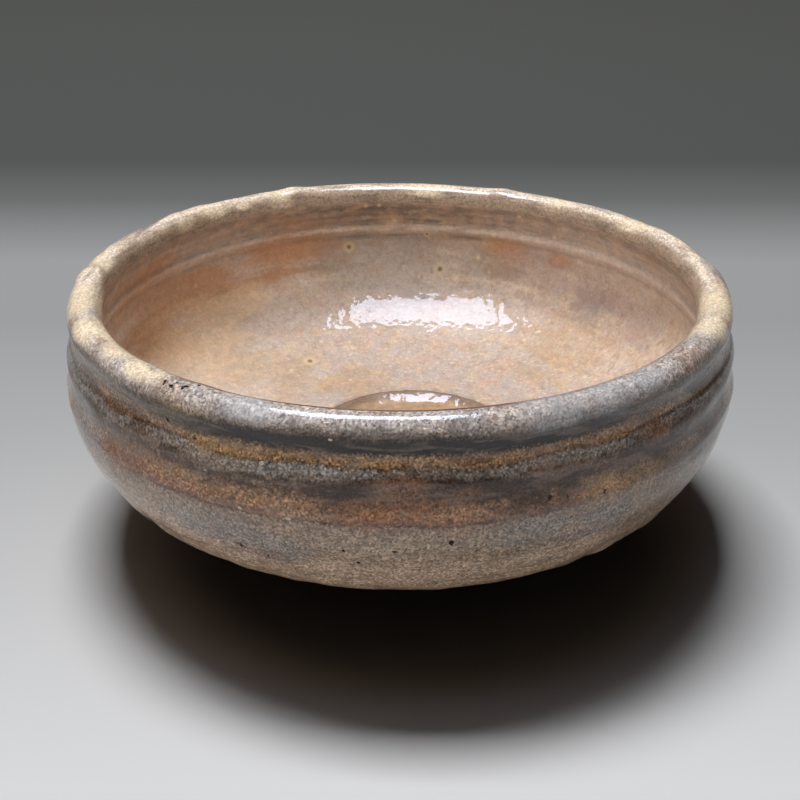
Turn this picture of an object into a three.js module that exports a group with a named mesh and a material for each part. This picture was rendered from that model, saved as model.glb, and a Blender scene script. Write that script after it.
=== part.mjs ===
// Wide, low stoneware tea bowl, thrown on a wheel, with a turned foot ring and a running glaze.
// Millimetres, +Z up. The origin is the middle of the face that the foot stands on.
// The thrown clay body carries everything. The foot ring is joined under it, one coat of glaze
// covers the outside and the lip, a second one lines the inside, and thick glass has gathered in
// the tea pool. The coats and the clay share one outline, each sunk into it by its own depth.
import * as THREE from "three";

// Whole bowl, measured over the glaze
const bowlHeight = 57.9; // table to the crest of the lip
const lipRadius = 70; // axis to the middle of the rolled lip
const lipThickness = 7.7;

// Outside wall. A width is past the middle of the lip, and a depth is below the mark before it.
const grooveWidth = 3.3; // pressed in by a finger under the lip
const grooveDepth = 5.2;
const ridgeWidth = 4.9; // ridge that the finger left
const ridgeDepth = 3;
const hollowWidth = 4.7;
const hollowDepth = 3.4;
const bellyWidth = 5.8; // widest ring of the bowl
const bellyDepth = 4.4;
const hipTurnIn = 7.2; // how far the wall comes in from the belly to the hip
const hipBevelWidth = 3.3; // edge cut when the underside was trimmed
const hipBevelHeight = 2.6;
const undersideAngle = 16.7; // degrees from level

// Inside wall. A width is short of the middle of the lip, and a depth is below the mark before it.
const innerNeckWidth = 2.1;
const innerNeckDepth = 4.6;
const innerHollowWidth = 1.1;
const innerHollowDepth = 2.6;
const innerRidgeWidth = 1.8; // throwing ridge, level with the one outside
const innerRidgeDepth = 1.8;
const innerWallWidth = 0.7;
const innerWallDepth = 2.4;
const turnWidth = 0.6; // where the wall starts its curve to the floor
const turnDepth = 3.6;

// Floor and tea pool
const floorThickness = 4.4; // clay between the pool's well and the foot
const poolRadius = 26.5;
const wellDepth = 2.8; // how far the well was pressed into the clay
const glassDepth = 1.3; // glass in the middle of the well

// Foot ring and underside
const footHeight = 7.5;
const footRadius = 29;
const footFaceWidth = 4.6; // flat ring that the bowl stands on
const footChamfer = 0.8;
const footFlare = 1.4; // how much wider the foot is where it joins the clay
const footInnerTaper = 0.5;
const footOffset = 0.9; // how far off centre its inner side was turned, which makes a crescent
const seatMargin = 1.1; // flat left on the clay round the foot
const peakRadius = 9; // low cone that the trimming tool left inside the foot
const peakHeight = 1.4;

// Glaze
const glazeThickness = 0.7;
const beadThickness = 1.1; // rolled edge where the glaze stopped running
const beadLength = 1.6;
const glazeStop = 12.5; // bare clay between the foot's seat and that edge
const glazeWander = 2.2; // how far the edge strays in and out
const seamAngle = 190; // degrees round the lip from its outer side, where the two coats meet
const jointGap = 0.3; // between neighbouring solids

// How far a bowl shaped by hand strays from round and level at its lip
const ovalStray = 0.3;
const lobeStray = 0.12;
const levelStray = 0.4;

// How the curves are drawn
const facets = 40;
const wallSteps = 6;
const ridgeSteps = 8;
const lipSteps = 8;
const innerRidgeSteps = 10;
const bowlSteps = 9;
const footSteps = 3;
const poolShares = [0.95, 0.85, 0.7, 0.45];
const poolPower = 5; // how late and how steeply the pool rises to its edge
const lipStart = -35; // degrees round the lip where the outer wall takes over
const lipEnd = 215; // and where the inner wall does

const at = (r, z) => new THREE.Vector2(r, z);
const closed = (points) => [...points, points[0]];
const { degToRad, radToDeg, smoothstep, lerp } = THREE.MathUtils;

const skin = glazeThickness + jointGap; // from the clay to the face of the glaze
const lipRoll = lipThickness / 2;
const lipHeight = bowlHeight - lipRoll;
const seamGap = radToDeg(jointGap / (lipRoll - glazeThickness));
const rootRadius = footRadius + footFlare;
const seatRadius = rootRadius + seatMargin;
const wellFloor = footHeight + floorThickness;
const wellBrim = wellFloor + wellDepth;
const rimHeight = wellBrim + skin; // where the inside coat ends at the pool

// A place below the bowl, so far from the axis and so deep under the sloping clay.
function underside(r, depth) {
  const slope = degToRad(undersideAngle);
  const clay = footHeight + (r - seatRadius) * Math.tan(slope);
  return at(r + depth * Math.sin(slope), clay - depth * Math.cos(slope));
}

// Marks down a wall, each given as its width from the middle of the lip and its depth below the last.
function marks(steps) {
  let height = lipHeight;
  return steps.map(([width, depth]) => {
    height -= depth;
    return at(lipRadius + width, height);
  });
}

function lipArc(start, end, steps) {
  const arc = new THREE.EllipseCurve(lipRadius, lipHeight, lipRoll, lipRoll, degToRad(start), degToRad(end));
  return arc.getPoints(steps);
}

// The face of the outside coat, from the underside up the wall and over the lip to the seam.
function outsideFace() {
  const [groove, ridge, hollow, belly] = marks([
    [grooveWidth, grooveDepth],
    [ridgeWidth, ridgeDepth],
    [hollowWidth, hollowDepth],
    [bellyWidth, bellyDepth],
  ]);
  const hipRadius = belly.x - hipTurnIn;
  const underHip = underside(hipRadius - hipBevelWidth, skin);
  const hip = at(hipRadius, underHip.y + hipBevelHeight);
  const lip = lipArc(lipStart, seamAngle - seamGap, lipSteps);
  const wall = new THREE.QuadraticBezierCurve(hip, at(belly.x, (hip.y + belly.y) / 2), belly);
  const fingerMarks = new THREE.SplineCurve([belly, hollow, ridge, groove, lip[0]]);
  return [
    underside(hipRadius - 1.5 * hipBevelWidth, skin),
    underHip,
    ...wall.getPoints(wallSteps),
    ...fingerMarks.getPoints(ridgeSteps).slice(1),
    ...lip.slice(1),
    ...lipArc(seamAngle - seamGap, seamAngle, 1).slice(1),
  ];
}

// The face of the inside coat, from the seam down to the edge of the tea pool.
function insideFace() {
  const lip = lipArc(seamAngle + seamGap, lipEnd, 2);
  const throwMarks = marks([
    [-innerNeckWidth, innerNeckDepth],
    [-innerHollowWidth, innerHollowDepth],
    [-innerRidgeWidth, innerRidgeDepth],
    [-innerWallWidth, innerWallDepth],
    [-turnWidth, turnDepth],
  ]);
  const turn = throwMarks[throwMarks.length - 1];
  const wall = new THREE.SplineCurve([lip[lip.length - 1], ...throwMarks]);
  const bowl = new THREE.CubicBezierCurve(
    turn,
    at(turn.x, (turn.y + rimHeight) / 2),
    at((turn.x + poolRadius) / 2, rimHeight),
    at(poolRadius, rimHeight),
  );
  return [
    ...lip,
    ...wall.getPoints(innerRidgeSteps).slice(1),
    ...bowl.getPoints(bowlSteps).slice(1),
  ];
}

const outside = outsideFace();
const inside = insideFace();
const face = [...outside, ...inside];

// The whole face moved into the wall by a depth, square to itself.
function sunk(depth) {
  const last = face.length - 1;
  return face.map((p, i) => {
    const along = face[Math.min(i + 1, last)].clone().sub(face[Math.max(i - 1, 0)]).normalize();
    return at(p.x - along.y * depth, p.y + along.x * depth);
  });
}

// A round hollow that is shallow in the middle and rises steeply to its edge.
function dished(radius, floor, edge) {
  return poolShares.map((share) => at(radius * share, lerp(floor, edge, share ** poolPower)));
}

// Moves a point of a true bowl to where the thrown one has it. Nothing moves at the foot.
function thrown(p, turn) {
  const stray = smoothstep(p.y, footHeight, bowlHeight) * (p.x / lipRadius);
  const oval = ovalStray * Math.cos(2 * turn - 0.6) + lobeStray * Math.cos(3 * turn + 1);
  const level = levelStray * (Math.cos(2 * turn + 0.9) + Math.cos(3 * turn - 0.5)) / 2;
  const r = p.x + stray * oval;
  return new THREE.Vector3(r * Math.cos(turn), r * Math.sin(turn), p.y + stray * level);
}

// Turns a section round the axis. It runs up the outer side and down the inner one, and either
// starts and ends on the axis or is closed. It may change with the angle, but not in its count.
function turned(name, material, sectionAt) {
  const geometry = new THREE.LatheGeometry(sectionAt(0), facets);
  const places = geometry.getAttribute("position");
  const count = sectionAt(0).length;
  for (let k = 0; k < places.count; k++) {
    const turn = ((Math.floor(k / count) % facets) / facets) * 2 * Math.PI;
    const p = thrown(sectionAt(turn)[k % count], turn);
    places.setXYZ(k, p.x, p.y, p.z);
  }
  geometry.computeVertexNormals();
  const mesh = new THREE.Mesh(geometry, material);
  mesh.name = name;
  return mesh;
}

function clayBody() {
  const peak = [0, 1 / 3, 2 / 3, 1].map((share) => {
    const rise = (1 + Math.cos(Math.PI * share)) / 2;
    return at(peakRadius * share, footHeight - peakHeight * rise);
  });
  const section = [
    ...peak,
    at(seatRadius, footHeight),
    ...sunk(skin),
    ...dished(poolRadius, wellFloor, wellBrim),
    at(0, wellFloor),
  ];
  return turned("clay_body", bareClay, () => section);
}

function footRing() {
  const chamferTop = at(footRadius, footChamfer);
  const root = at(rootRadius, footHeight);
  const side = new THREE.QuadraticBezierCurve(chamferTop, at(footRadius, footHeight * 0.75), root);
  const outerSide = side.getPoints(footSteps);
  const innerRadius = footRadius - footChamfer - footFaceWidth;
  return turned("foot_ring", bareClay, (turn) => {
    const shift = footOffset * Math.sin(turn);
    return closed([
      at(innerRadius + shift, 0),
      at(footRadius - footChamfer, 0),
      ...outerSide,
      at(innerRadius - footChamfer - footInnerTaper + shift, footHeight),
      at(innerRadius - footChamfer + shift, footChamfer),
    ]);
  });
}

// The outside coat ends under the bowl in a thick edge that wanders with the runs of the glaze.
function outsideGlaze() {
  const back = sunk(glazeThickness).slice(0, outside.length).reverse();
  return turned("outside_glaze", brownGlaze, (turn) => {
    const run = 0.5 * Math.sin(2 * turn + 0.7) + 0.3 * Math.sin(5 * turn) + 0.2 * Math.sin(8 * turn + 2);
    const edge = seatRadius + glazeStop + glazeWander * run;
    return closed([
      underside(edge, jointGap),
      underside(edge, jointGap + beadThickness / 2),
      underside(edge + beadLength / 2, jointGap + beadThickness),
      underside(edge + 2 * beadLength, skin),
      ...outside,
      ...back,
    ]);
  });
}

function insideGlaze() {
  const back = sunk(glazeThickness).slice(outside.length).reverse();
  const section = closed([...inside, ...back]);
  return turned("inside_glaze", tanGlaze, () => section);
}

// Glass that fills the well and stands a little lower than the coat around it.
function poolGlaze() {
  const edge = poolRadius - jointGap;
  const back = dished(edge, wellFloor + jointGap, wellBrim + jointGap).reverse();
  const middle = wellFloor + jointGap + glassDepth;
  const brim = rimHeight - jointGap / 2;
  const section = [
    at(0, wellFloor + jointGap),
    ...back,
    at(edge, wellBrim + jointGap),
    at(edge, brim),
    ...dished(edge, middle, brim),
    at(0, middle),
  ];
  return turned("pool_glaze", poolGlass, () => section);
}

const bareClay = new THREE.MeshStandardMaterial({ color: 0x6f4a35, roughness: 0.9, metalness: 0 });
const brownGlaze = new THREE.MeshStandardMaterial({ color: 0x75614f, roughness: 0.35, metalness: 0 });
const tanGlaze = new THREE.MeshStandardMaterial({ color: 0x9c7a58, roughness: 0.25, metalness: 0 });
const poolGlass = new THREE.MeshStandardMaterial({ color: 0xa08668, roughness: 0.1, metalness: 0 });

const bowl = new THREE.Group();
bowl.add(clayBody(), footRing(), outsideGlaze(), insideGlaze(), poolGlaze());

export default bowl;
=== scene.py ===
"""Dresses the tea bowl's solids in fired stoneware and a runny wood-ash glaze."""

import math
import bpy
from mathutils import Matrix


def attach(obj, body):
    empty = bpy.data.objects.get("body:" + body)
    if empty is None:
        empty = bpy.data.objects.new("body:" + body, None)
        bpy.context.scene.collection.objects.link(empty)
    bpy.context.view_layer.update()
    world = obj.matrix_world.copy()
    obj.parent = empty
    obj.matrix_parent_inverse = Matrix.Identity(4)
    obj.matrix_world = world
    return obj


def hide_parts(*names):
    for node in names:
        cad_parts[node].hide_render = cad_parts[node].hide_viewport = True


bl_info = {
    "name": "Stoneware Tea Bowl",
    "version": (1, 0, 0),
    "blender": (4, 5, 0),
    "location": "View3D > Sidebar > Tea Bowl",
    "description": "Clay, glaze coats, kiln marks and a plain stage for a thrown tea bowl",
    "category": "Object",
}

import bmesh
import bpy
from bpy.props import FloatProperty, FloatVectorProperty, IntProperty, PointerProperty
from mathutils import Matrix, Vector, noise

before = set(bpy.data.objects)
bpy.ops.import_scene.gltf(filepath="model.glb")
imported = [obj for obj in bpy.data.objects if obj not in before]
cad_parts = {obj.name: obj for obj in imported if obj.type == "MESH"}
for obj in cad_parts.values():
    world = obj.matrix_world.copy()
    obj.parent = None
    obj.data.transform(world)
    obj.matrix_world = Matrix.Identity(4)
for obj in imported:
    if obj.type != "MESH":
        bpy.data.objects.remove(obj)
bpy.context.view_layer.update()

MM = 0.001
BODY = "root"

# The solids have this many facets round, starting at +X
FACETS = 40

# The lip, as the solids have it, in millimetres
LIP_ROLL = 3.85
LIP_MIDDLE = 54.05
LIP_RADIUS = 70.0
SEAM_GAP = 12.0  # degrees round the lip that the inside coat is drawn on by
INNER_LIP_END = 215.0  # degrees round the lip where the inner wall begins

# The tea pool: its radius in the solids, and what the photograph shows of it, in millimetres
POOL_RADIUS = 26.5
POOL_SEEN = 24.2
POOL_ASIDE = 3.2
POOL_STEP = 0.8

# Patterns that the wheel drew out lie on a circle of this radius in mm, in place of the bowl's 70
WHEEL_REACH = 15.0

# The photograph's camera, found by fitting the bowl's outline
PHOTO_SIZE = 800
FOCAL_PIXELS = 1200
CAMERA_PLACE = Vector((0, -256.6, 154.5)) * MM
CAMERA_TILT = 63.23  # degrees up from straight down
SENSOR = 36.0

# Small things on the bowl, by their pixel in the photograph
PINHOLES = [
    (168, 420), (195, 437), (134, 471), (242, 546), (268, 556), (343, 550), (358, 563),
    (396, 552), (451, 543), (417, 570), (568, 496), (549, 497), (605, 491),
]
LIP_CRACKS = [((166, 382), 0.9), ((171, 386), 1.0), ((177, 382), 0.7), ((184, 387), 0.9), ((199, 386), 0.6)]
CREAM_BEADS = [(325, 423), (330, 440), (425, 430), (440, 431), (617, 403), (514, 410)]
WHITE_GRIT = [(240, 508), (288, 519), (302, 526), (517, 572), (382, 584), (262, 463), (205, 470)]

# Lumps that the potter's fingers left on the lip: degrees round from +X, rise and reach in mm
LIP_LUMPS = [
    (180, 0.9, 3.2), (168, 0.35, 7), (146, 0.5, 4), (139, 0.45, 4), (115, 0.55, 3),
    (66, 0.4, 3), (238, 0.3, 4), (227, 0.35, 6), (205, 0.3, 6), (20, 0.3, 7),
]


def linear(code):
    """Turns an sRGB hex colour into Blender's linear RGBA."""
    parts = [int(code[i : i + 2], 16) / 255 for i in (1, 3, 5)]
    return tuple(c / 12.92 if c <= 0.04045 else ((c + 0.055) / 1.055) ** 2.4 for c in parts) + (1,)


def colour(code, name, text):
    """A colour property whose default is an sRGB hex code."""
    return FloatVectorProperty(
        name=name, description=text, subtype="COLOR", size=4, min=0, max=1, default=linear(code)
    )


def ease(low, high, value):
    """0 below low, 1 above high, and a smooth rise between them."""
    share = min(max((value - low) / (high - low), 0), 1)
    return share * share * (3 - 2 * share)


class BowlSizes(bpy.types.PropertyGroup):
    """How strongly the hand and the kiln shaped the surface."""

    swell: FloatProperty(
        name="Swell", description="Height of the slow waves of the thrown wall",
        default=0.34 * MM, unit="LENGTH",
    )
    dimple: FloatProperty(
        name="Dimple", description="Height of the dimples that fingers and glaze leave",
        default=0.24 * MM, unit="LENGTH",
    )
    peel: FloatProperty(
        name="Peel", description="Height of the glaze's orange peel",
        default=0.05 * MM, unit="LENGTH",
    )
    ring: FloatProperty(
        name="Ring line", description="Height of the thin ring pulled up under the lip",
        default=0.12 * MM, unit="LENGTH",
    )
    pinhole: FloatProperty(
        name="Pinhole", description="Radius of a pinhole burst through the glaze",
        default=0.68 * MM, unit="LENGTH",
    )
    bead: FloatProperty(
        name="Bead", description="Radius of a bead of glaze or grit",
        default=0.5 * MM, unit="LENGTH",
    )
    levels: IntProperty(
        name="Smoothing", description="Subdivision steps of the glaze coats", default=2, min=1, max=2
    )


class BowlColours(bpy.types.PropertyGroup):
    """Colours of the clay and of what the fire made of the glaze."""

    clay: colour("#7a4c33", "Clay", "Iron-rich clay where it is bare")
    ember: colour("#8f6347", "Ember", "Orange iron flashes in the glaze")
    ochre: colour("#a6865c", "Ochre", "Yellow ochre runs")
    cream: colour("#e2cfb3", "Cream", "Thick ash glaze on the lip")
    slate: colour("#7b7a7a", "Slate", "Blue-grey pools of glaze")
    charcoal_band: colour("#1d1814", "Soot", "Charcoal band on the lip")
    pool: colour("#b0947a", "Pool", "Thick glass in the tea pool")
    floor: colour("#fbfcfe", "Floor", "The stage's floor")
    # Painted shade: the grey that the floor falls to far behind the bowl
    painted_far_shade: colour("#585955", "Backdrop", "The stage's back")


class BowlSettings(bpy.types.PropertyGroup):
    """All the bowl's settings."""

    sizes: PointerProperty(type=BowlSizes)
    colours: PointerProperty(type=BowlColours)


def settings():
    return bpy.context.scene.tea_bowl


def wall_side(r, z):
    """0 on the bowl's inner side and 1 on its outer side, from the curve that the inner side follows."""
    drop = (38 - min(z, 38)) / 24.5
    inner = 69 * math.sqrt(max(0, 1 - drop * drop))
    return ease(1, 3.5, r - inner) * ease(30, 44, r)


def hand_shape(place, sizes):
    """How far the hand moved a point of the solids. Every piece uses it, so that neighbours keep together."""
    x, y, z = place / MM
    r = math.hypot(x, y)
    if r < 1:
        return Vector()
    turn = math.degrees(math.atan2(y, x)) % 360
    side = wall_side(r, z)
    move = (0.16 + 0.84 * side) * sizes.swell * noise.noise(place / (21 * MM))
    move += (0.22 + 0.78 * side) * sizes.dimple * noise.noise(place / (7.5 * MM) + Vector((3, 1, 4)))
    move += (0.08 + 0.92 * side) * sizes.peel * noise.noise(place / (2.6 * MM) + Vector((1, 5, 9)))
    if r > 66:
        wave = 48.2 + 0.45 * math.sin(math.radians(3 * turn)) + 0.3 * math.sin(math.radians(8 * turn + 40))
        move += sizes.ring * math.exp(-(((z - wave) / 0.55) ** 2)) * side
        move += 1.1 * sizes.ring * math.tanh((z - 37.8) / 0.5) * ease(52, 44, z) * ease(24, 34, z) * side
    hem = ease(12, 15, z) * ease(26, 20, z) * side
    move += hem * 2.4 * sizes.dimple * noise.noise(Vector((x / 5.5, y / 5.5, 7)))
    for angle, rise, reach in LIP_LUMPS:
        away = ((turn - angle + 180) % 360 - 180) * math.radians(1) * LIP_RADIUS
        move += rise * MM * math.exp(-((away / reach) ** 2)) * ease(49, 55, z)
    up = max(ease(52, 57.5, z), ease(62, 46, r))
    out = Vector((x / r, y / r, 0))
    moved = (out * (1 - up) + Vector((0, 0, 1)) * up) * move * ease(9, 20, z + 4 * side)
    return moved + pool_shift(place)


def pool_shift(place):
    """How the pressed pool lies off the solids' round one: a little smaller, to the right and deeper."""
    x, y, z = place / MM
    r = math.hypot(x, y)
    if r > 52 or z < 10.5:
        return Vector()
    near = ease(50, POOL_RADIUS, r) * ease(10.5, 11.8, z)
    wobble = 0.5 * noise.noise(Vector((x, y, 40)) / 9) + 0.35 * noise.noise(Vector((x, y, 70)) / 3.2)
    shrink = (1 - POOL_SEEN / POOL_RADIUS) * min(1, POOL_RADIUS / max(r, 1))
    inward = Vector((x, y, 0)) * -shrink * near
    aside = Vector((POOL_ASIDE, 0, 0)) * near
    inward += Vector((x, y, 0)) / max(r, 1) * wobble * near
    slope = min(max((POOL_RADIUS - 0.1 - r) / 3.1, 0), 1)
    sunk = Vector((0, 0, -POOL_STEP)) * slope * ease(10.5, 11.8, z)
    return (inward + aside + sunk) * MM


def activate(piece):
    """Makes one object the only selected and active one."""
    bpy.ops.object.select_all(action="DESELECT")
    piece.select_set(True)
    bpy.context.view_layer.objects.active = piece


def is_round_edge(edge):
    """True for an edge that runs round the bowl, from one facet's side to the next."""
    a, b = (v.co for v in edge.verts)
    if min(a.xy.length, b.xy.length) < MM:
        return False
    swing = a.xy.angle_signed(b.xy)
    return abs(swing) > math.pi / FACETS


def rounded_copy(node, name, levels):
    """Copies a solid, joins its triangles to quads, and rounds it between and beyond its facets."""
    piece = bpy.data.objects.new(name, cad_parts[node].data.copy())
    bpy.context.scene.collection.objects.link(piece)
    activate(piece)
    bpy.ops.object.mode_set(mode="EDIT")
    bpy.ops.mesh.select_all(action="SELECT")
    bpy.ops.mesh.remove_doubles(threshold=0.002 * MM)
    bpy.ops.mesh.tris_convert_to_quads(face_threshold=math.pi, shape_threshold=math.pi)
    bpy.ops.mesh.select_all(action="DESELECT")
    bpy.ops.mesh.select_mode(type="EDGE")
    edit = bmesh.from_edit_mesh(piece.data)
    old = set(edit.verts)
    for edge in edit.edges:
        edge.select_set(is_round_edge(edge))
    bmesh.update_edit_mesh(piece.data)
    bpy.ops.mesh.subdivide(number_cuts=1)
    edit = bmesh.from_edit_mesh(piece.data)
    spread = 1 / math.cos(math.pi / FACETS)
    for vert in edit.verts:
        turn = math.atan2(vert.co.y, vert.co.x) * FACETS / (2 * math.pi)
        if vert.co.xy.length > MM and abs(turn - round(turn)) > 0.25:
            vert.co.xy *= spread
    bmesh.update_edit_mesh(piece.data)
    bpy.ops.object.mode_set(mode="OBJECT")
    smooth = piece.modifiers.new("rounding", "SUBSURF")
    smooth.levels = levels
    smooth.render_levels = levels
    bpy.ops.object.modifier_apply(modifier=smooth.name)
    bpy.ops.object.shade_smooth()
    return piece


def finish_piece(piece, material, nodes=()):
    """Gives a finished piece its material and its body, and hides the solids of the nodes that it stands for."""
    piece.data.materials.clear()
    piece.data.materials.append(material)
    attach(piece, BODY)
    if nodes:
        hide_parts(*nodes)


def shape_by_hand(piece):
    """Moves every point of a piece as the potter's hand did."""
    sizes = settings().sizes
    for vert in piece.data.vertices:
        vert.co += hand_shape(vert.co.copy(), sizes)
    piece.data.update()


def ray_through(pixel):
    """The direction from the camera through a pixel of the photograph."""
    across = (pixel[0] - PHOTO_SIZE / 2) / FOCAL_PIXELS
    down = (pixel[1] - PHOTO_SIZE / 2) / FOCAL_PIXELS
    tilt = Matrix.Rotation(math.radians(CAMERA_TILT), 3, "X")
    return (tilt @ Vector((across, -down, -1))).normalized()


def spot_on(piece, pixel):
    """The place and normal on a piece that a pixel of the photograph shows."""
    hit, place, normal, _ = piece.ray_cast(CAMERA_PLACE, ray_through(pixel))
    if not hit:
        raise RuntimeError(f"{piece.name} isn't under the photograph's pixel {pixel}")
    return place, normal


def add(tree, kind, inputs=None, stops=None, **properties):
    """Adds a node with its properties, inputs and colour stops. An input is a value, a socket or a node."""
    node = tree.nodes.new(kind)
    for name, value in properties.items():
        setattr(node, name, value)
    for name, value in (inputs or {}).items():
        if isinstance(value, bpy.types.Node):
            value = next(output for output in value.outputs if output.enabled)
        if isinstance(value, bpy.types.NodeSocket):
            tree.links.new(value, node.inputs[name])
        else:
            node.inputs[name].default_value = value
    if stops:
        ramp = node.color_ramp
        while len(ramp.elements) < len(stops):
            ramp.elements.new(1)
        for element, (position, shade) in zip(ramp.elements, stops):
            element.position = position
            element.color = shade
    return node


def new_material(name, **shader_values):
    """A material with a Principled shader, and the place on the piece that its patterns read."""
    material = bpy.data.materials.new(name)
    material.use_nodes = True
    tree = material.node_tree
    tree.nodes.clear()
    shader = add(tree, "ShaderNodeBsdfPrincipled", shader_values)
    add(tree, "ShaderNodeOutputMaterial", {"Surface": shader})
    place = add(tree, "ShaderNodeTexCoord").outputs["Object"]
    return material, tree, shader, place


def per_mm(size):
    """The texture scale at which a pattern's features are this many millimetres wide."""
    return 1 / (size * MM)


def wheel_place(tree, place):
    """The place with its way round the bowl shortened, which draws patterns out as the wheel turned them."""
    level = add(tree, "ShaderNodeVectorMath", {0: place, 1: (1, 1, 0)}, operation="MULTIPLY")
    radius = add(tree, "ShaderNodeVectorMath", {0: level}, operation="LENGTH").outputs["Value"]
    facing = add(tree, "ShaderNodeVectorMath", {0: level}, operation="NORMALIZE")
    height = add(tree, "ShaderNodeSeparateXYZ", {"Vector": place}).outputs["Z"]
    along = add(tree, "ShaderNodeMath", {0: height, 1: radius}, operation="ADD")
    rise = add(tree, "ShaderNodeCombineXYZ", {"Z": along})
    short = (WHEEL_REACH * MM,) * 3
    return add(tree, "ShaderNodeVectorMath", {0: facing, 1: short, 2: rise}, operation="MULTIPLY_ADD"), radius


def nearness(tree, place, spots, flat=1.0):
    """A value that is 1 at the middle of each spot and falls to 0 at its radius. Spots are (place, radius)."""
    squashed = add(tree, "ShaderNodeVectorMath", {0: place, 1: (1, 1, flat)}, operation="MULTIPLY")
    best = None
    for centre, radius in spots:
        middle = (centre.x, centre.y, centre.z * flat)
        away = add(tree, "ShaderNodeVectorMath", {0: squashed, 1: middle}, operation="DISTANCE")
        away = away.outputs["Value"]
        near = add(tree, "ShaderNodeMath", {0: away, 1: -1 / radius, 2: 1.0}, operation="MULTIPLY_ADD")
        best = near if best is None else add(tree, "ShaderNodeMath", {0: best, 1: near}, operation="MAXIMUM")
    return best


def mottled(tree, place, coat, hue, size, low, high, strength=1.0, seed=0.0):
    """Clouds a coat with a second colour, in patches of a size in mm."""
    shifted = add(tree, "ShaderNodeMapping", {"Vector": place, "Location": (seed, seed, seed)})
    cloud = add(tree, "ShaderNodeTexNoise", {"Vector": shifted, "Scale": per_mm(size), "Detail": 5.0})
    amount = add(
        tree, "ShaderNodeMapRange",
        {"Value": cloud, "From Min": low, "From Max": high, "To Max": strength},
        interpolation_type="SMOOTHSTEP",
    )
    return add(tree, "ShaderNodeMix", {0: amount, 6: coat, 7: hue}, data_type="RGBA")


def stained(tree, place, ragged, coat, hue, spots, strength):
    """Lays a colour over drawn-out spots, with soft edges that a noise tears."""
    near = nearness(tree, place, spots, 2.0)
    torn = add(tree, "ShaderNodeMath", {0: ragged, 1: 2.4, 2: near}, operation="MULTIPLY_ADD")
    amount = add(
        tree, "ShaderNodeMapRange",
        {"Value": torn, "From Min": 1.1, "From Max": 1.9, "To Max": strength},
        interpolation_type="SMOOTHSTEP",
    )
    return add(tree, "ShaderNodeMix", {0: amount, 6: coat, 7: hue}, data_type="RGBA")


def banded(tree, height, place, wheel, sway, low, high, bands):
    """Colours a coat in level bands, from (height in mm, hex colour) pairs, with edges that wander by sway mm."""
    slow = add(tree, "ShaderNodeTexNoise", {"Vector": place, "Scale": per_mm(25), "Detail": 2.0})
    quick = add(tree, "ShaderNodeTexNoise", {"Vector": wheel, "Scale": per_mm(3), "Detail": 5.0})
    sand = add(tree, "ShaderNodeTexNoise", {"Vector": place, "Scale": per_mm(0.5), "Detail": 2.0})
    both = add(tree, "ShaderNodeMath", {0: quick, 1: 0.45, 2: slow}, operation="MULTIPLY_ADD")
    both = add(tree, "ShaderNodeMath", {0: sand, 1: 0.5, 2: both}, operation="MULTIPLY_ADD")
    moved = add(tree, "ShaderNodeMath", {0: both, 1: sway * 2 * MM, 2: height}, operation="MULTIPLY_ADD")
    offset = 0.975 * sway * 2
    share = add(
        tree, "ShaderNodeMapRange",
        {"Value": moved, "From Min": (low + offset) * MM, "From Max": (high + offset) * MM},
    )
    stops = [((z - low) / (high - low), linear(code)) for z, code in bands]
    return add(tree, "ShaderNodeValToRGB", {"Fac": share}, stops=stops)


def speckled(tree, place, coat, size, dark, bright, seed=0.0):
    """Peppers a coat with crisp grains of a size in mm: darker by one share and brighter by another."""
    shifted = add(tree, "ShaderNodeMapping", {"Vector": place, "Location": (seed, seed, seed)})
    grains = add(tree, "ShaderNodeTexVoronoi", {"Vector": shifted, "Scale": per_mm(size)})
    tone = add(
        tree, "ShaderNodeMapRange",
        {"Value": grains.outputs["Color"], "To Min": 1 - dark, "To Max": 1 + bright},
    )
    return add(tree, "ShaderNodeVectorMath", {0: coat, "Scale": tone}, operation="SCALE")


def glaze_skin(tree, place, shader, peel, grit, pits=None):
    """Orange peel, fine grit and burst pinholes, as a normal for the glaze. Peel and grit are heights in mm."""
    waves = add(tree, "ShaderNodeTexNoise", {"Vector": place, "Scale": per_mm(3), "Detail": 1.6})
    grains = add(tree, "ShaderNodeTexNoise", {"Vector": place, "Scale": per_mm(0.6), "Detail": 2.0})
    skin = add(tree, "ShaderNodeBump", {"Height": waves, "Strength": 1.0, "Distance": peel * MM})
    skin = add(
        tree, "ShaderNodeBump", {"Height": grains, "Strength": 1.0, "Distance": grit * MM, "Normal": skin}
    )
    if pits:
        depth = add(tree, "ShaderNodeMapRange", {"Value": pits, "To Min": 0.0, "To Max": -1.0})
        skin = add(
            tree, "ShaderNodeBump", {"Height": depth, "Strength": 1.0, "Distance": 0.5 * MM, "Normal": skin}
        )
    tree.links.new(skin.outputs["Normal"], shader.inputs["Normal"])
    tree.links.new(skin.outputs["Normal"], shader.inputs["Coat Normal"])


def spots_at(piece, pixels):
    """Places and radii on a piece for (pixel, radius in mm) pairs."""
    return [(spot_on(piece, pixel)[0], radius * MM) for pixel, radius in pixels]


# Colours of the outside coat by height in mm, from the underside to the crest of the lip; the hip's
# bands from 18.6 to 26 mm are painted paler than the glaze, as painted light on the shaded hip
OUTSIDE_BANDS = [
    (8, "#3d2d22"), (15.5, "#6a5140"), (18.6, "#dfbd9c"), (22, "#d3b59b"), (26, "#c6ac95"),
    (29.5, "#a38d79"), (33, "#907c6a"), (37.2, "#857263"), (37.6, "#4a362a"), (38.2, "#7e5743"), (41.0, "#8d6b4c"),
    (43.0, "#4f3929"), (45.7, "#3f2d22"), (46.3, "#6c645d"), (47.8, "#7b7672"), (48.2, "#3b3029"),
    (48.7, "#866648"), (51, "#7a5f47"), (52.3, "#524539"), (54.4, "#61554c"), (55.6, "#7f736a"),
    (58, "#a99a8f"),
]
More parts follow.
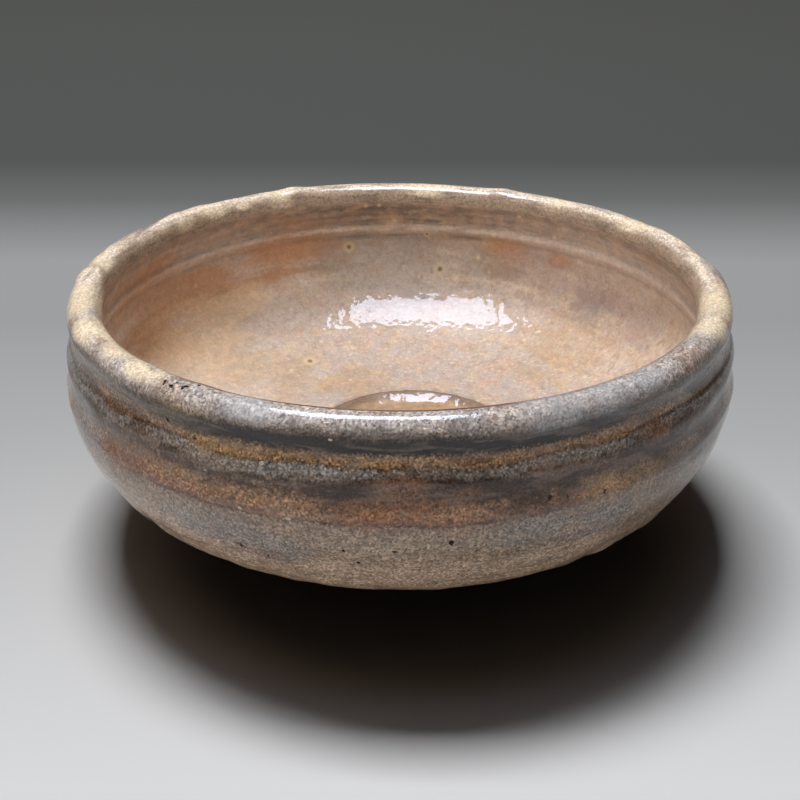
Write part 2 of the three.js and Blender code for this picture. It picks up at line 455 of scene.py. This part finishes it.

# Stains on the outside coat, with some spots of painted light and shade: (pixel in the photograph, radius in mm)
# Cream glaze on the lip; the small spots along the back rim, up to 226 pixels down, are painted highlight
CREAM_STAINS_AND_HIGHLIGHTS = [
    ((84, 300), 11), ((90, 328), 9), ((95, 262), 8), ((122, 350), 7), ((142, 364), 6), ((158, 373), 4),
    ((290, 193), 3), ((640, 222), 5), ((430, 186), 6), ((714, 302), 10), ((710, 326), 8),
    ((186, 226), 4), ((216, 214), 5), ((243, 206), 3), ((282, 197), 5), ((562, 200), 5),
]
OCHRE_STAINS = [
    ((175, 412), 9), ((205, 432), 8), ((238, 442), 7), ((605, 491), 8), ((640, 478), 8),
]
# Umber glaze; the spots at the right edge, (700, 380) and (706, 432), are painted shade
UMBER_STAINS_AND_SHADE = [
    ((530, 491), 11), ((490, 493), 9), ((570, 486), 8), ((350, 494), 9), ((650, 456), 12),
    ((700, 380), 7), ((706, 432), 12), ((405, 492), 9), ((440, 493), 8),
]
SLATE_STAINS = [
    ((232, 535), 11), ((270, 548), 10), ((190, 520), 9), ((85, 420), 12), ((600, 520), 11), ((545, 530), 10),
    ((690, 385), 8), ((600, 400), 9), ((650, 374), 7),
]
# Painted reflection: pale blue-grey sheen on the lip
PAINTED_SHEEN_SPOTS = [((560, 403), 9), ((608, 394), 10), ((650, 376), 6), ((250, 404), 7)]
EMBER_STAINS = [
    ((128, 458), 11), ((450, 512), 9), ((400, 492), 7), ((370, 515), 8), ((660, 430), 6), ((213, 391), 4),
    ((690, 358), 8), ((668, 366), 5),
]


def outside_glaze_material(piece):
    """Wood-ash glaze on iron-rich stoneware, dipped and reduction fired: glossy over a fine grain like
    wet sandpaper, banded where fingers made it thick or thin, with burst pinholes. Its colour also holds
    painted light: a paler hip, painted shade on the right side, and painted highlights and sheen on the lip."""
    colours = settings().colours
    material, tree, shader, place = new_material(
        "outside_ash_glaze",
        **{
            "IOR": 1.5, "Specular IOR Level": 0.1, "Roughness": 0.4,
            "Coat Weight": 0.85, "Coat Roughness": 0.05, "Coat IOR": 1.5,
        },
    )
    axes = add(tree, "ShaderNodeSeparateXYZ", {"Vector": place})
    height = axes.outputs["Z"]
    wheel, radius = wheel_place(tree, place)
    ragged = add(tree, "ShaderNodeTexNoise", {"Vector": wheel, "Scale": per_mm(3.5), "Detail": 6.0})
    coat = banded(tree, height, place, wheel, 2.0, 0, 60, OUTSIDE_BANDS)
    coat = mottled(tree, place, coat, linear("#76675b"), 19, 0.5, 0.72, 0.3, 0.11)
    coat = mottled(tree, wheel, coat, linear("#9d8a76"), 4, 0.54, 0.66, 0.3, 0.23)
    belt = add(tree, "ShaderNodeMapRange", {"Value": height, "From Min": 36 * MM, "From Max": 39 * MM})
    streaked = mottled(tree, wheel, coat, linear("#4d3527"), 2.4, 0.5, 0.62, 0.6, 0.37)
    streaked = speckled(tree, place, streaked, 0.42, 0.55, 0.6, 0.35)
    coat = add(tree, "ShaderNodeMix", {0: belt, 6: coat, 7: streaked}, data_type="RGBA")
    coat = mottled(tree, place, coat, linear("#8d7763"), 2.2, 0.54, 0.64, 0.35, 0.39)
    coat = stained(tree, place, ragged, coat, colours.slate, spots_at(piece, SLATE_STAINS), 0.5)
    coat = stained(tree, place, ragged, coat, linear("#2e2018"), spots_at(piece, UMBER_STAINS_AND_SHADE), 0.85)
    coat = stained(tree, place, ragged, coat, colours.ember, spots_at(piece, EMBER_STAINS), 0.4)
    coat = stained(tree, place, ragged, coat, colours.ochre, spots_at(piece, OCHRE_STAINS), 0.35)

    # Painted shade: the right side, turned away from the light, is painted darker
    painted_shade_right = add(
        tree, "ShaderNodeMapRange",
        {"Value": axes.outputs["X"], "From Min": 0.032, "From Max": 0.072, "To Max": 0.4},
        interpolation_type="SMOOTHSTEP",
    )
    coat = add(tree, "ShaderNodeMix", {0: painted_shade_right, 6: coat, 7: linear("#33261e")}, data_type="RGBA")

    # The lip's outer face is charcoal in front, towards -Y
    front = add(
        tree, "ShaderNodeMapRange",
        {"Value": axes.outputs["Y"], "From Min": -0.047, "From Max": -0.068, "To Max": 1.0},
        interpolation_type="SMOOTHSTEP",
    )
    sand = add(tree, "ShaderNodeTexNoise", {"Vector": place, "Scale": per_mm(0.45), "Detail": 3.0})
    torn = add(tree, "ShaderNodeMath", {0: ragged, 1: 3.0 * MM, 2: height}, operation="MULTIPLY_ADD")
    torn = add(tree, "ShaderNodeMath", {0: sand, 1: 3.0 * MM, 2: torn}, operation="MULTIPLY_ADD")
    rise = add(
        tree, "ShaderNodeMapRange", {"Value": torn, "From Min": 52.6 * MM, "From Max": 54.0 * MM},
        interpolation_type="SMOOTHSTEP",
    )
    fall = add(
        tree, "ShaderNodeMapRange", {"Value": torn, "From Min": 58.3 * MM, "From Max": 55.9 * MM},
        interpolation_type="SMOOTHSTEP",
    )
    band = add(tree, "ShaderNodeMath", {0: rise, 1: fall}, operation="MULTIPLY")
    black = add(tree, "ShaderNodeMath", {0: band, 1: front}, operation="MULTIPLY")
    coat = add(tree, "ShaderNodeMix", {0: black, 6: coat, 7: colours.charcoal_band}, data_type="RGBA")
    coat = speckled(tree, place, coat, 0.8, 0.18, 0.2, 0.41)
    coat = speckled(tree, place, coat, 0.4, 0.6, 0.7, 0.43)

    # The lip's crest is pale, partly its glaze and partly painted highlight from above, and turns tan where it
    # rolls inwards
    crest = add(
        tree, "ShaderNodeMapRange",
        {"Value": torn, "From Min": 56.9 * MM, "From Max": 60.0 * MM, "To Max": 0.85},
        interpolation_type="SMOOTHSTEP",
    )
    pale = mottled(tree, wheel, linear("#e4d3c2"), linear("#f0e0c6"), 1.6, 0.5, 0.6, 0.7, 0.95)
    facing = add(
        tree, "ShaderNodeMapRange",
        {"Value": axes.outputs["Y"], "From Min": -0.015, "From Max": -0.045, "To Max": 1.0},
        interpolation_type="SMOOTHSTEP",
    )
    pale = mottled(tree, wheel, pale, linear("#a58570"), 3, 0.5, 0.6, 0.4, 0.91)
    pale = mottled(tree, wheel, pale, linear("#85858a"), 4, 0.52, 0.62, 0.55, 0.93)
    pale = speckled(tree, place, pale, 0.42, 0.3, 0.3, 0.97)
    # On the front, towards -Y, the crest is greyer and darker
    front_crest_grey = mottled(tree, wheel, linear("#aaa29e"), linear("#a58570"), 3, 0.5, 0.6, 0.4, 0.91)
    front_crest_grey = mottled(tree, wheel, front_crest_grey, linear("#7c7c81"), 4, 0.52, 0.62, 0.55, 0.93)
    front_crest_grey = mottled(tree, wheel, front_crest_grey, linear("#57493f"), 1.5, 0.54, 0.64, 0.45, 0.89)
    front_crest_grey = speckled(tree, place, front_crest_grey, 0.42, 0.72, 0.88, 0.99)
    pale = add(tree, "ShaderNodeMix", {0: facing, 6: pale, 7: front_crest_grey}, data_type="RGBA")
    coat = add(tree, "ShaderNodeMix", {0: crest, 6: coat, 7: pale}, data_type="RGBA")
    on_lip = add(tree, "ShaderNodeMapRange", {"Value": height, "From Min": 47 * MM, "From Max": 50 * MM})
    inward = add(
        tree, "ShaderNodeMapRange",
        {"Value": radius, "From Min": 68.6 * MM, "From Max": 66.6 * MM},
        interpolation_type="SMOOTHSTEP",
    )
    inward = add(tree, "ShaderNodeMath", {0: inward, 1: on_lip}, operation="MULTIPLY")
    coat = add(tree, "ShaderNodeMix", {0: inward, 6: coat, 7: linear("#a8937f")}, data_type="RGBA")

    # A thin line of bare red-brown shows where the front lip turns out of sight
    away = add(tree, "ShaderNodeMath", {0: radius, 1: 68.5 * MM}, operation="SUBTRACT")
    away = add(tree, "ShaderNodeMath", {0: away}, operation="ABSOLUTE")
    edge = add(
        tree, "ShaderNodeMapRange", {"Value": away, "From Min": 1.0 * MM, "From Max": 0.4 * MM},
        interpolation_type="SMOOTHSTEP",
    )
    edge = add(tree, "ShaderNodeMath", {0: edge, 1: front}, operation="MULTIPLY")
    edge = add(tree, "ShaderNodeMath", {0: edge, 1: on_lip}, operation="MULTIPLY")
    coat = add(tree, "ShaderNodeMix", {0: edge, 6: coat, 7: linear("#6e4531")}, data_type="RGBA")
    coat = mottled(tree, wheel, coat, linear("#77645a"), 1.8, 0.5, 0.64, 0.45, 0.49)
    # Painted reflection of a pale sheen on the lip
    coat = stained(tree, place, ragged, coat, linear("#a9abb0"), spots_at(piece, PAINTED_SHEEN_SPOTS), 0.5)
    coat = stained(tree, place, ragged, coat, colours.cream, spots_at(piece, CREAM_STAINS_AND_HIGHLIGHTS), 0.8)

    coat = speckled(tree, place, coat, 0.42, 0.36, 0.38, 0.47)
    pinhole = settings().sizes.pinhole / MM
    burst = [(pixel, pinhole * (0.9 + 0.2 * ((3 * k + 2) % 4))) for k, pixel in enumerate(PINHOLES)]
    chipped = add(tree, "ShaderNodeTexNoise", {"Vector": place, "Scale": per_mm(0.7), "Detail": 2.0})
    round_pits = nearness(tree, place, spots_at(piece, burst + LIP_CRACKS))
    pits = add(tree, "ShaderNodeMath", {0: chipped, 1: 3.0, 2: round_pits}, operation="MULTIPLY_ADD")
    pits = add(tree, "ShaderNodeMath", {0: pits, 1: 1.9}, operation="SUBTRACT")
    hole = add(tree, "ShaderNodeMapRange", {"Value": pits, "From Min": 0.0, "From Max": 0.4})
    coat = add(tree, "ShaderNodeMix", {0: hole, 6: coat, 7: linear("#1c110d")}, data_type="RGBA")
    tree.links.new(coat.outputs[2], shader.inputs["Base Color"])
    glaze_skin(tree, place, shader, 0.1, 0.03, pits)
    return material


# Colours of the inside coat by height in mm, from the floor up; the walls from 25 to 41 mm are
# painted paler than the floor, as painted light on the steep, less lit walls
INSIDE_BANDS = [
    (14, "#ac9f98"), (17, "#b0a198"), (20, "#b6a598"), (25, "#c4b0a1"), (31, "#d6c0ad"), (37, "#d6c0ad"),
    (41.4, "#b5a191"), (42.9, "#7c6a5b"), (43.6, "#b8a89a"), (44.8, "#d2bfac"), (45.6, "#cdbba9"),
    (46.3, "#8f7e71"), (47.3, "#7c6e62"), (48.3, "#9a8b7b"), (49.2, "#7d6f63"), (50.4, "#8c7e70"),
    (51.4, "#77695d"), (52.6, "#8d7d70"), (54.0, "#a8937f"),
]
INSIDE_EMBER = [
    ((275, 258), 20), ((205, 283), 19), ((150, 300), 24), ((150, 332), 17), ((505, 250), 9), ((560, 262), 6),
]
INSIDE_SLATE = [
    ((235, 312), 11), ((400, 255), 26), ((340, 268), 15), ((590, 306), 8), ((480, 268), 14),
]
INSIDE_ROSE = [((545, 272), 18), ((600, 292), 16), ((645, 322), 12)]
INSIDE_OCHRE = [
    ((285, 375), 14), ((350, 385), 12), ((240, 365), 13), ((560, 350), 16), ((500, 270), 7), ((320, 272), 7),
    ((650, 260), 7),
]

# Painted light: pale spots low on the left wall, where the left rim shades it
INSIDE_PAINTED_LIGHT = [((195, 347), 19), ((215, 325), 14), ((250, 302), 10)]

# Ochre rings that burst bubbles left inside, with a dark middle
BUBBLE_RINGS = [((349, 247), 2.0), ((440, 269), 2.2), ((310, 361), 2.2), ((427, 234), 1.2)]


def inside_glaze_material(piece):
    """The same ash glaze inside, thicker and smoother: very glossy, warm tan, brushed and mottled. Its colour
    also holds painted light on the side walls and painted shade round the pool.
    """
    colours = settings().colours
    material, tree, shader, place = new_material(
        "inside_ash_glaze",
        **{
            "IOR": 1.5, "Specular IOR Level": 0.2, "Roughness": 0.4,
            "Coat Weight": 0.48, "Coat Roughness": 0.03, "Coat IOR": 1.55,
        },
    )
    axes = add(tree, "ShaderNodeSeparateXYZ", {"Vector": place})
    height = axes.outputs["Z"]
    wheel, _ = wheel_place(tree, place)
    ragged = add(tree, "ShaderNodeTexNoise", {"Vector": wheel, "Scale": per_mm(6), "Detail": 6.0})
    coat = banded(tree, height, place, wheel, 0.7, 12, 60, INSIDE_BANDS)
    coat = mottled(tree, wheel, coat, linear("#a69080"), 8, 0.48, 0.7, 0.35, 0.51)
    coat = mottled(tree, place, coat, linear("#d2ae80"), 4, 0.5, 0.66, 0.35, 0.53)
    coat = mottled(tree, place, coat, linear("#c49d85"), 6, 0.48, 0.64, 0.4, 0.54)
    coat = mottled(tree, place, coat, linear("#937a67"), 1.1, 0.52, 0.7, 0.3, 0.55)
    coat = mottled(tree, place, coat, linear("#9c7c6c"), 2.2, 0.52, 0.66, 0.3, 0.62)
    collar = add(tree, "ShaderNodeMapRange", {"Value": height, "From Min": 39 * MM, "From Max": 42 * MM})
    grainy = mottled(tree, place, coat, linear("#ead9bd"), 0.9, 0.54, 0.68, 0.3, 0.56)
    drawn = mottled(tree, wheel, coat, linear("#6b5a4d"), 1.3, 0.48, 0.62, 0.3, 0.52)
    drawn = mottled(tree, wheel, drawn, linear("#c4ac93"), 1.0, 0.52, 0.64, 0.4, 0.58)
    coat = add(tree, "ShaderNodeMix", {0: collar, 6: grainy, 7: drawn}, data_type="RGBA")

    # Painted light: the coat is painted paler all the way down on the left, and round the collar on the right,
    # where the side walls get little light
    left = add(
        tree, "ShaderNodeMapRange",
        {"Value": axes.outputs["X"], "From Min": -0.012, "From Max": -0.055, "To Max": 0.3},
        interpolation_type="SMOOTHSTEP",
    )
    right = add(
        tree, "ShaderNodeMapRange",
        {"Value": axes.outputs["X"], "From Min": 0.012, "From Max": 0.055, "To Max": 0.36},
        interpolation_type="SMOOTHSTEP",
    )
    right = add(tree, "ShaderNodeMath", {0: right, 1: collar}, operation="MULTIPLY")
    painted_light_sides = add(tree, "ShaderNodeMath", {0: left, 1: right}, operation="ADD")
    below = add(tree, "ShaderNodeMapRange", {"Value": height, "From Min": 53.4 * MM, "From Max": 50.4 * MM})
    painted_light_sides = add(tree, "ShaderNodeMath", {0: painted_light_sides, 1: below}, operation="MULTIPLY")
    coat = add(tree, "ShaderNodeMix", {0: painted_light_sides, 6: coat, 7: linear("#eedacb")}, data_type="RGBA")
    coat = stained(tree, place, ragged, coat, linear("#c08657"), spots_at(piece, INSIDE_EMBER), 0.7)
    coat = stained(tree, place, ragged, coat, linear("#8f8882"), spots_at(piece, INSIDE_SLATE), 0.45)
    coat = stained(tree, place, ragged, coat, linear("#ae958d"), spots_at(piece, INSIDE_ROSE), 0.5)
    coat = stained(tree, place, ragged, coat, colours.ochre, spots_at(piece, INSIDE_OCHRE), 0.35)
    coat = stained(tree, place, ragged, coat, linear("#edcaa4"), spots_at(piece, INSIDE_PAINTED_LIGHT), 0.6)
    coat = speckled(tree, place, coat, 1.6, 0.08, 0.09, 0.57)
    coat = speckled(tree, place, coat, 0.5, 0.1, 0.12, 0.59)
    flecks = add(tree, "ShaderNodeTexVoronoi", {"Vector": place, "Scale": per_mm(7)})
    fleck = add(
        tree, "ShaderNodeMapRange",
        {"Value": flecks, "From Min": 0.12, "From Max": 0.05, "To Max": 0.6},
    )
    coat = add(tree, "ShaderNodeMix", {0: fleck, 6: coat, 7: linear("#e0c9a4")}, data_type="RGBA")
    # Painted shade: a dark ring round the pool's edge, where the floor steps down into it
    level = add(tree, "ShaderNodeVectorMath", {0: place, 1: (1, 1, 0)}, operation="MULTIPLY")
    middle = (POOL_ASIDE * MM, 0, 0)
    away = add(tree, "ShaderNodeVectorMath", {0: level, 1: middle}, operation="DISTANCE").outputs["Value"]
    away = add(tree, "ShaderNodeMath", {0: ragged, 1: 2.4 * MM, 2: away}, operation="MULTIPLY_ADD")
    edge = add(
        tree, "ShaderNodeMapRange",
        {"Value": away, "From Min": (POOL_SEEN + 2.9) * MM, "From Max": (POOL_SEEN + 1.2) * MM, "To Max": 0.5},
        interpolation_type="SMOOTHSTEP",
    )
    coat = add(tree, "ShaderNodeMix", {0: edge, 6: coat, 7: linear("#6a5d55")}, data_type="RGBA")
    rings = nearness(tree, place, spots_at(piece, BUBBLE_RINGS))
    ring = add(tree, "ShaderNodeMapRange", {"Value": rings, "From Max": 0.35, "To Max": 0.5})
    middle = add(tree, "ShaderNodeMapRange", {"Value": rings, "From Min": 0.6, "From Max": 0.8, "To Max": 0.7})
    coat = add(tree, "ShaderNodeMix", {0: ring, 6: coat, 7: linear("#d3bd92")}, data_type="RGBA")
    coat = add(tree, "ShaderNodeMix", {0: middle, 6: coat, 7: linear("#5a4030")}, data_type="RGBA")
    tree.links.new(coat.outputs[2], shader.inputs["Base Color"])
    glaze_skin(tree, place, shader, 0.2, 0.004)
    return material


def clay_material():
    """Bare iron-rich stoneware, wiped with a sponge before firing: matt, sandy, toasted brown."""
    material, tree, shader, place = new_material("iron_stoneware", **{"IOR": 1.45, "Roughness": 0.85})
    coat = mottled(tree, place, settings().colours.clay, linear("#4b2f22"), 14, 0.35, 0.75, 0.8, 0.61)
    coat = speckled(tree, place, coat, 0.8, 0.4, 0.4, 0.63)
    tree.links.new(coat.outputs[0], shader.inputs["Base Color"])
    sand = add(tree, "ShaderNodeTexNoise", {"Vector": place, "Scale": per_mm(0.9), "Detail": 3.0})
    rough = add(tree, "ShaderNodeBump", {"Height": sand, "Strength": 0.7, "Distance": 0.2 * MM})
    tree.links.new(rough.outputs["Normal"], shader.inputs["Normal"])
    return material


def pool_material():
    """Glass that gathered where the glaze ran thick: very glossy and a little darker than the tan coat,
    with a painted shade ring round its shoulder.
    """
    material, tree, shader, place = new_material(
        "pooled_ash_glass",
        **{
            "IOR": 1.5, "Specular IOR Level": 0.2, "Roughness": 0.3,
            "Coat Weight": 0.7, "Coat Roughness": 0.03, "Coat IOR": 1.5,
        },
    )
    coat = mottled(tree, place, settings().colours.pool, linear("#a08468"), 7, 0.3, 0.7, 1.0, 0.71)
    coat = speckled(tree, place, coat, 1.1, 0.2, 0.2, 0.73)
    level = add(tree, "ShaderNodeVectorMath", {0: place, 1: (1, 1, 0)}, operation="MULTIPLY")
    middle = (POOL_ASIDE * MM, 0, 0)
    radius = add(tree, "ShaderNodeVectorMath", {0: level, 1: middle}, operation="DISTANCE").outputs["Value"]
    # Painted shade: a dark ring on the pool's shoulder, where it steps down
    painted_step_shade = add(
        tree, "ShaderNodeMapRange",
        {"Value": radius, "From Min": (POOL_SEEN - 2.6) * MM, "From Max": (POOL_SEEN - 0.9) * MM, "To Max": 0.55},
        interpolation_type="SMOOTHSTEP",
    )
    coat = add(tree, "ShaderNodeMix", {0: painted_step_shade, 6: coat, 7: linear("#5e5048")}, data_type="RGBA")
    tree.links.new(coat.outputs[2], shader.inputs["Base Color"])
    glaze_skin(tree, place, shader, 0.3, 0.006)
    return material


def bead_material():
    """Grit and thick glaze that melted to pale beads."""
    material, tree, shader, place = new_material("melted_grit", **{"IOR": 1.5, "Roughness": 0.3})
    coat = mottled(tree, place, linear("#c6b79c"), linear("#94836f"), 0.6, 0.35, 0.65, 1.0, 0.81)
    tree.links.new(coat.outputs[2], shader.inputs["Base Color"])
    return material


class BOWL_OT_clay_body(bpy.types.Operator):
    """Rounds the thrown clay body"""

    bl_idname = "tea_bowl.clay_body"
    bl_label = "Clay Body"

    def execute(self, context):
        piece = rounded_copy("clay_body", "thrown_clay_body", 1)
        shape_by_hand(piece)
        finish_piece(piece, clay_material(), ["clay_body"])
        return {"FINISHED"}


class BOWL_OT_foot_ring(bpy.types.Operator):
    """Rounds the turned foot ring"""

    bl_idname = "tea_bowl.foot_ring"
    bl_label = "Foot Ring"

    def execute(self, context):
        piece = rounded_copy("foot_ring", "turned_foot_ring", 2)
        finish_piece(piece, bpy.data.materials["iron_stoneware"], ["foot_ring"])
        return {"FINISHED"}


class BOWL_OT_outside_glaze(bpy.types.Operator):
    """Rounds the outside coat and gives it its bands, stains and pinholes"""

    bl_idname = "tea_bowl.outside_glaze"
    bl_label = "Outside Glaze"

    def execute(self, context):
        piece = rounded_copy("outside_glaze", "outside_coat", settings().sizes.levels)
        shape_by_hand(piece)
        context.view_layer.update()
        finish_piece(piece, outside_glaze_material(piece), ["outside_glaze"])
        return {"FINISHED"}


def lip_middle(turn):
    """The radius and height in mm of the lip's middle at a turn in radians, as the solids stray from round."""
    aside = 0.3 * math.cos(2 * turn - 0.6) + 0.12 * math.cos(3 * turn + 1)
    above = 0.2 * (math.cos(2 * turn + 0.9) + math.cos(3 * turn - 0.5))
    return Vector((LIP_RADIUS + aside, LIP_MIDDLE + above))


def close_seam(piece):
    """Turns the top of the inside coat round the lip until its end dips under the outside coat."""
    for vert in piece.data.vertices:
        place = Vector((vert.co.xy.length, vert.co.z)) / MM
        middle = lip_middle(math.atan2(vert.co.y, vert.co.x))
        arm = place - middle
        angle = math.degrees(math.atan2(arm.y, arm.x)) % 360
        if arm.length > LIP_ROLL + 1 or angle > INNER_LIP_END:
            continue
        turned = Matrix.Rotation(math.radians(-SEAM_GAP * ease(INNER_LIP_END, 199, angle)), 2) @ arm
        dip = 0.05 * ease(INNER_LIP_END, 205, angle) - 0.35 * ease(200, 197.5, angle)
        turned *= 1 + dip / turned.length
        vert.co.xy *= (middle.x + turned.x) / place.x
        vert.co.z = (middle.y + turned.y) * MM


class BOWL_OT_inside_glaze(bpy.types.Operator):
    """Rounds the inside coat and closes its seam at the lip"""

    bl_idname = "tea_bowl.inside_glaze"
    bl_label = "Inside Glaze"

    def execute(self, context):
        piece = rounded_copy("inside_glaze", "inside_coat", settings().sizes.levels)
        close_seam(piece)
        shape_by_hand(piece)
        context.view_layer.update()
        finish_piece(piece, inside_glaze_material(piece), ["inside_glaze"])
        return {"FINISHED"}


class BOWL_OT_pool_glaze(bpy.types.Operator):
    """Rounds the glass in the tea pool"""

    bl_idname = "tea_bowl.pool_glaze"
    bl_label = "Pool Glass"

    def execute(self, context):
        piece = rounded_copy("pool_glaze", "tea_pool_glass", settings().sizes.levels)
        for vert in piece.data.vertices:
            r = vert.co.xy.length / MM
            vert.co.xy *= 1 + 1.1 * ease(23.5, 26.2, r) / max(r, 1)
        shape_by_hand(piece)
        finish_piece(piece, pool_material(), ["pool_glaze"])
        return {"FINISHED"}


def model_bead(place, normal, radius, sunk):
    """Models one uneven bead, sunk into the glaze by a share of its radius."""
    bpy.ops.mesh.primitive_ico_sphere_add(subdivisions=3, radius=radius, location=place - normal * radius * sunk)
    bead = bpy.context.object
    bead.rotation_euler = normal.to_track_quat("Z", "Y").to_euler()
    bead.scale = (1.25, 0.85, 0.6)
    bpy.ops.object.transform_apply(location=True, rotation=True, scale=True)
    for vert in bead.data.vertices:
        vert.co += (vert.co - place) * 0.35 * noise.noise(vert.co / radius)
    bpy.ops.object.shade_smooth()
    return bead


class BOWL_OT_kiln_marks(bpy.types.Operator):
    """Sets beads of glaze and grains of grit on the outside coat"""

    bl_idname = "tea_bowl.kiln_marks"
    bl_label = "Kiln Marks"

    def execute(self, context):
        coat = bpy.data.objects["outside_coat"]
        radius = settings().sizes.bead
        beads = []
        for k, pixel in enumerate(CREAM_BEADS + WHITE_GRIT):
            place, normal = spot_on(coat, pixel)
            beads.append(model_bead(place, normal, radius * (0.7 + 0.12 * (k % 4)), 0.35))
        bpy.ops.object.select_all(action="DESELECT")
        for bead in beads:
            bead.select_set(True)
        context.view_layer.objects.active = beads[0]
        bpy.ops.object.join()
        piece = context.object
        piece.name = "kiln_grit"
        finish_piece(piece, bead_material())
        return {"FINISHED"}


def soft_light(name, place, size, power):
    """Adds a rectangular soft light that points at the bowl."""
    data = bpy.data.lights.new(name, "AREA")
    data.shape = "RECTANGLE"
    data.size, data.size_y = size
    data.energy = power
    light = bpy.data.objects.new(name, data)
    light.location = place
    back = (Vector(place) - Vector((0, 0, 0.03))).normalized()
    right = Vector((0, 1, 0)).cross(back).normalized()
    light.rotation_euler = Matrix((right, back.cross(right), back)).transposed().to_euler()
    bpy.context.scene.collection.objects.link(light)
    return light


def flag_off(light, floor):
    """Keeps a fill light off the floor, as a photographer's black flag does, so that the shadow stays deep."""
    flagged = bpy.data.collections.new(light.name + "_flagged")
    flagged.objects.link(floor)
    flagged.collection_objects[0].light_linking.link_state = "EXCLUDE"
    light.light_linking.receiver_collection = flagged


def floor_material():
    """Matt card, pale in front and painted falling to grey far behind the bowl as painted shade, and
    with a painted shadow: a darker disc in the deep of the bowl's shadow.
    """
    material, tree, shader, place = new_material("matt_card", **{"Roughness": 0.8})
    # Painted shade: the card falls to grey far behind the bowl, where light falls off
    depth = add(tree, "ShaderNodeSeparateXYZ", {"Vector": place}).outputs["Y"]
    share = add(tree, "ShaderNodeMapRange", {"Value": depth, "From Min": -0.1, "From Max": 0.3})
    fall = [(0, 0.05), (0.14, 0.27), (0.32, 0.48), (0.52, 0.62), (0.66, 0.62), (0.85, 0.91), (1, 1.0)]
    back = add(tree, "ShaderNodeValToRGB", {"Fac": share}, stops=[(y, (v, v, v, 1)) for y, v in fall])
    card = add(
        tree, "ShaderNodeMix", {0: back, 6: settings().colours.floor, 7: settings().colours.painted_far_shade},
        data_type="RGBA",
    )
    # Painted shadow: a dark disc under the bowl, deepest where its shadow is
    away = add(tree, "ShaderNodeVectorMath", {0: place, 1: (0.007, -0.02, 0)}, operation="DISTANCE")
    painted_shadow_disc = add(
        tree, "ShaderNodeMapRange",
        {"Value": away.outputs["Value"], "From Min": 0.071, "From Max": 0.046, "To Max": 0.72},
        interpolation_type="SMOOTHSTEP",
    )
    card = add(tree, "ShaderNodeMix", {0: painted_shadow_disc, 6: card, 7: linear("#4b4a3f")}, data_type="RGBA")
    tree.links.new(card.outputs[2], shader.inputs["Base Color"])
    return material


class BOWL_OT_stage(bpy.types.Operator):
    """Adds the floor, the lights and the photograph's camera"""

    bl_idname = "tea_bowl.stage"
    bl_label = "Stage"

    def execute(self, context):
        scene = context.scene
        bpy.ops.object.select_all(action="DESELECT")
        bpy.ops.mesh.primitive_plane_add(size=8, location=(0, 0, 0))
        floor = context.object
        floor.name = "floor"
        floor.data.materials.append(floor_material())

        # The window's light and its mirror image are set apart, so that each falls as in the photograph
        soft_light("window", (-0.42, 1.06, 3.17), (1.3, 0.75), 92).visible_glossy = False
        mirrored = soft_light("window_image", (-0.12, 0.14, 1.32), (0.7, 0.54), 22)
        mirrored.visible_diffuse = False
        mirrored.data.color = linear("#dbe7ff")[:3]
        for name, place, size, power in (
            ("room", (-0.3, -0.6, 1.8), (2.6, 2.4), 38),
            ("front_fill", (-0.9, -1.45, 0.5), (1.4, 1.2), 6),
        ):
            fill = soft_light(name, place, size, power)
            fill.visible_glossy = False
            flag_off(fill, floor)

        world = bpy.data.worlds.new("studio")
        world.use_nodes = True
        background = world.node_tree.nodes["Background"]
        background.inputs["Color"].default_value = linear("#e8eaf0")
        background.inputs["Strength"].default_value = 0.002
        scene.world = world

        camera = bpy.data.cameras.new("photo_camera")
        camera.sensor_width = SENSOR
        camera.lens = SENSOR * FOCAL_PIXELS / PHOTO_SIZE
        camera.clip_start = 0.01
        view = bpy.data.objects.new("photo_camera", camera)
        view.location = CAMERA_PLACE
        view.rotation_euler = (math.radians(CAMERA_TILT), 0, 0)
        scene.collection.objects.link(view)
        scene.camera = view
        scene.view_settings.view_transform = "Standard"
        return {"FINISHED"}


OPERATORS = (
    BOWL_OT_clay_body,
    BOWL_OT_foot_ring,
    BOWL_OT_outside_glaze,
    BOWL_OT_inside_glaze,
    BOWL_OT_pool_glaze,
    BOWL_OT_kiln_marks,
    BOWL_OT_stage,
)


class BOWL_PT_panel(bpy.types.Panel):
    """Lists the bowl's pieces and settings"""

    bl_idname = "BOWL_PT_panel"
    bl_label = "Tea Bowl"
    bl_space_type = "VIEW_3D"
    bl_region_type = "UI"
    bl_category = "Tea Bowl"

    def draw(self, context):
        for operator in OPERATORS:
            self.layout.operator(operator.bl_idname)
        for group in (context.scene.tea_bowl.sizes, context.scene.tea_bowl.colours):
            for name in group.__annotations__:
                self.layout.prop(group, name)


CLASSES = (BowlSizes, BowlColours, BowlSettings, *OPERATORS, BOWL_PT_panel)


def register():
    for cls in CLASSES:
        bpy.utils.register_class(cls)
    bpy.types.Scene.tea_bowl = PointerProperty(type=BowlSettings)


def unregister():
    del bpy.types.Scene.tea_bowl
    for cls in reversed(CLASSES):
        bpy.utils.unregister_class(cls)


def main():
    """Makes the whole bowl on its stage."""
    register()
    bpy.ops.object.select_all(action="DESELECT")
    bpy.ops.tea_bowl.clay_body()
    bpy.ops.tea_bowl.foot_ring()
    bpy.ops.tea_bowl.outside_glaze()
    bpy.ops.tea_bowl.inside_glaze()
    bpy.ops.tea_bowl.pool_glaze()
    bpy.ops.tea_bowl.kiln_marks()
    bpy.ops.tea_bowl.stage()


if __name__ == "__main__":
    main()
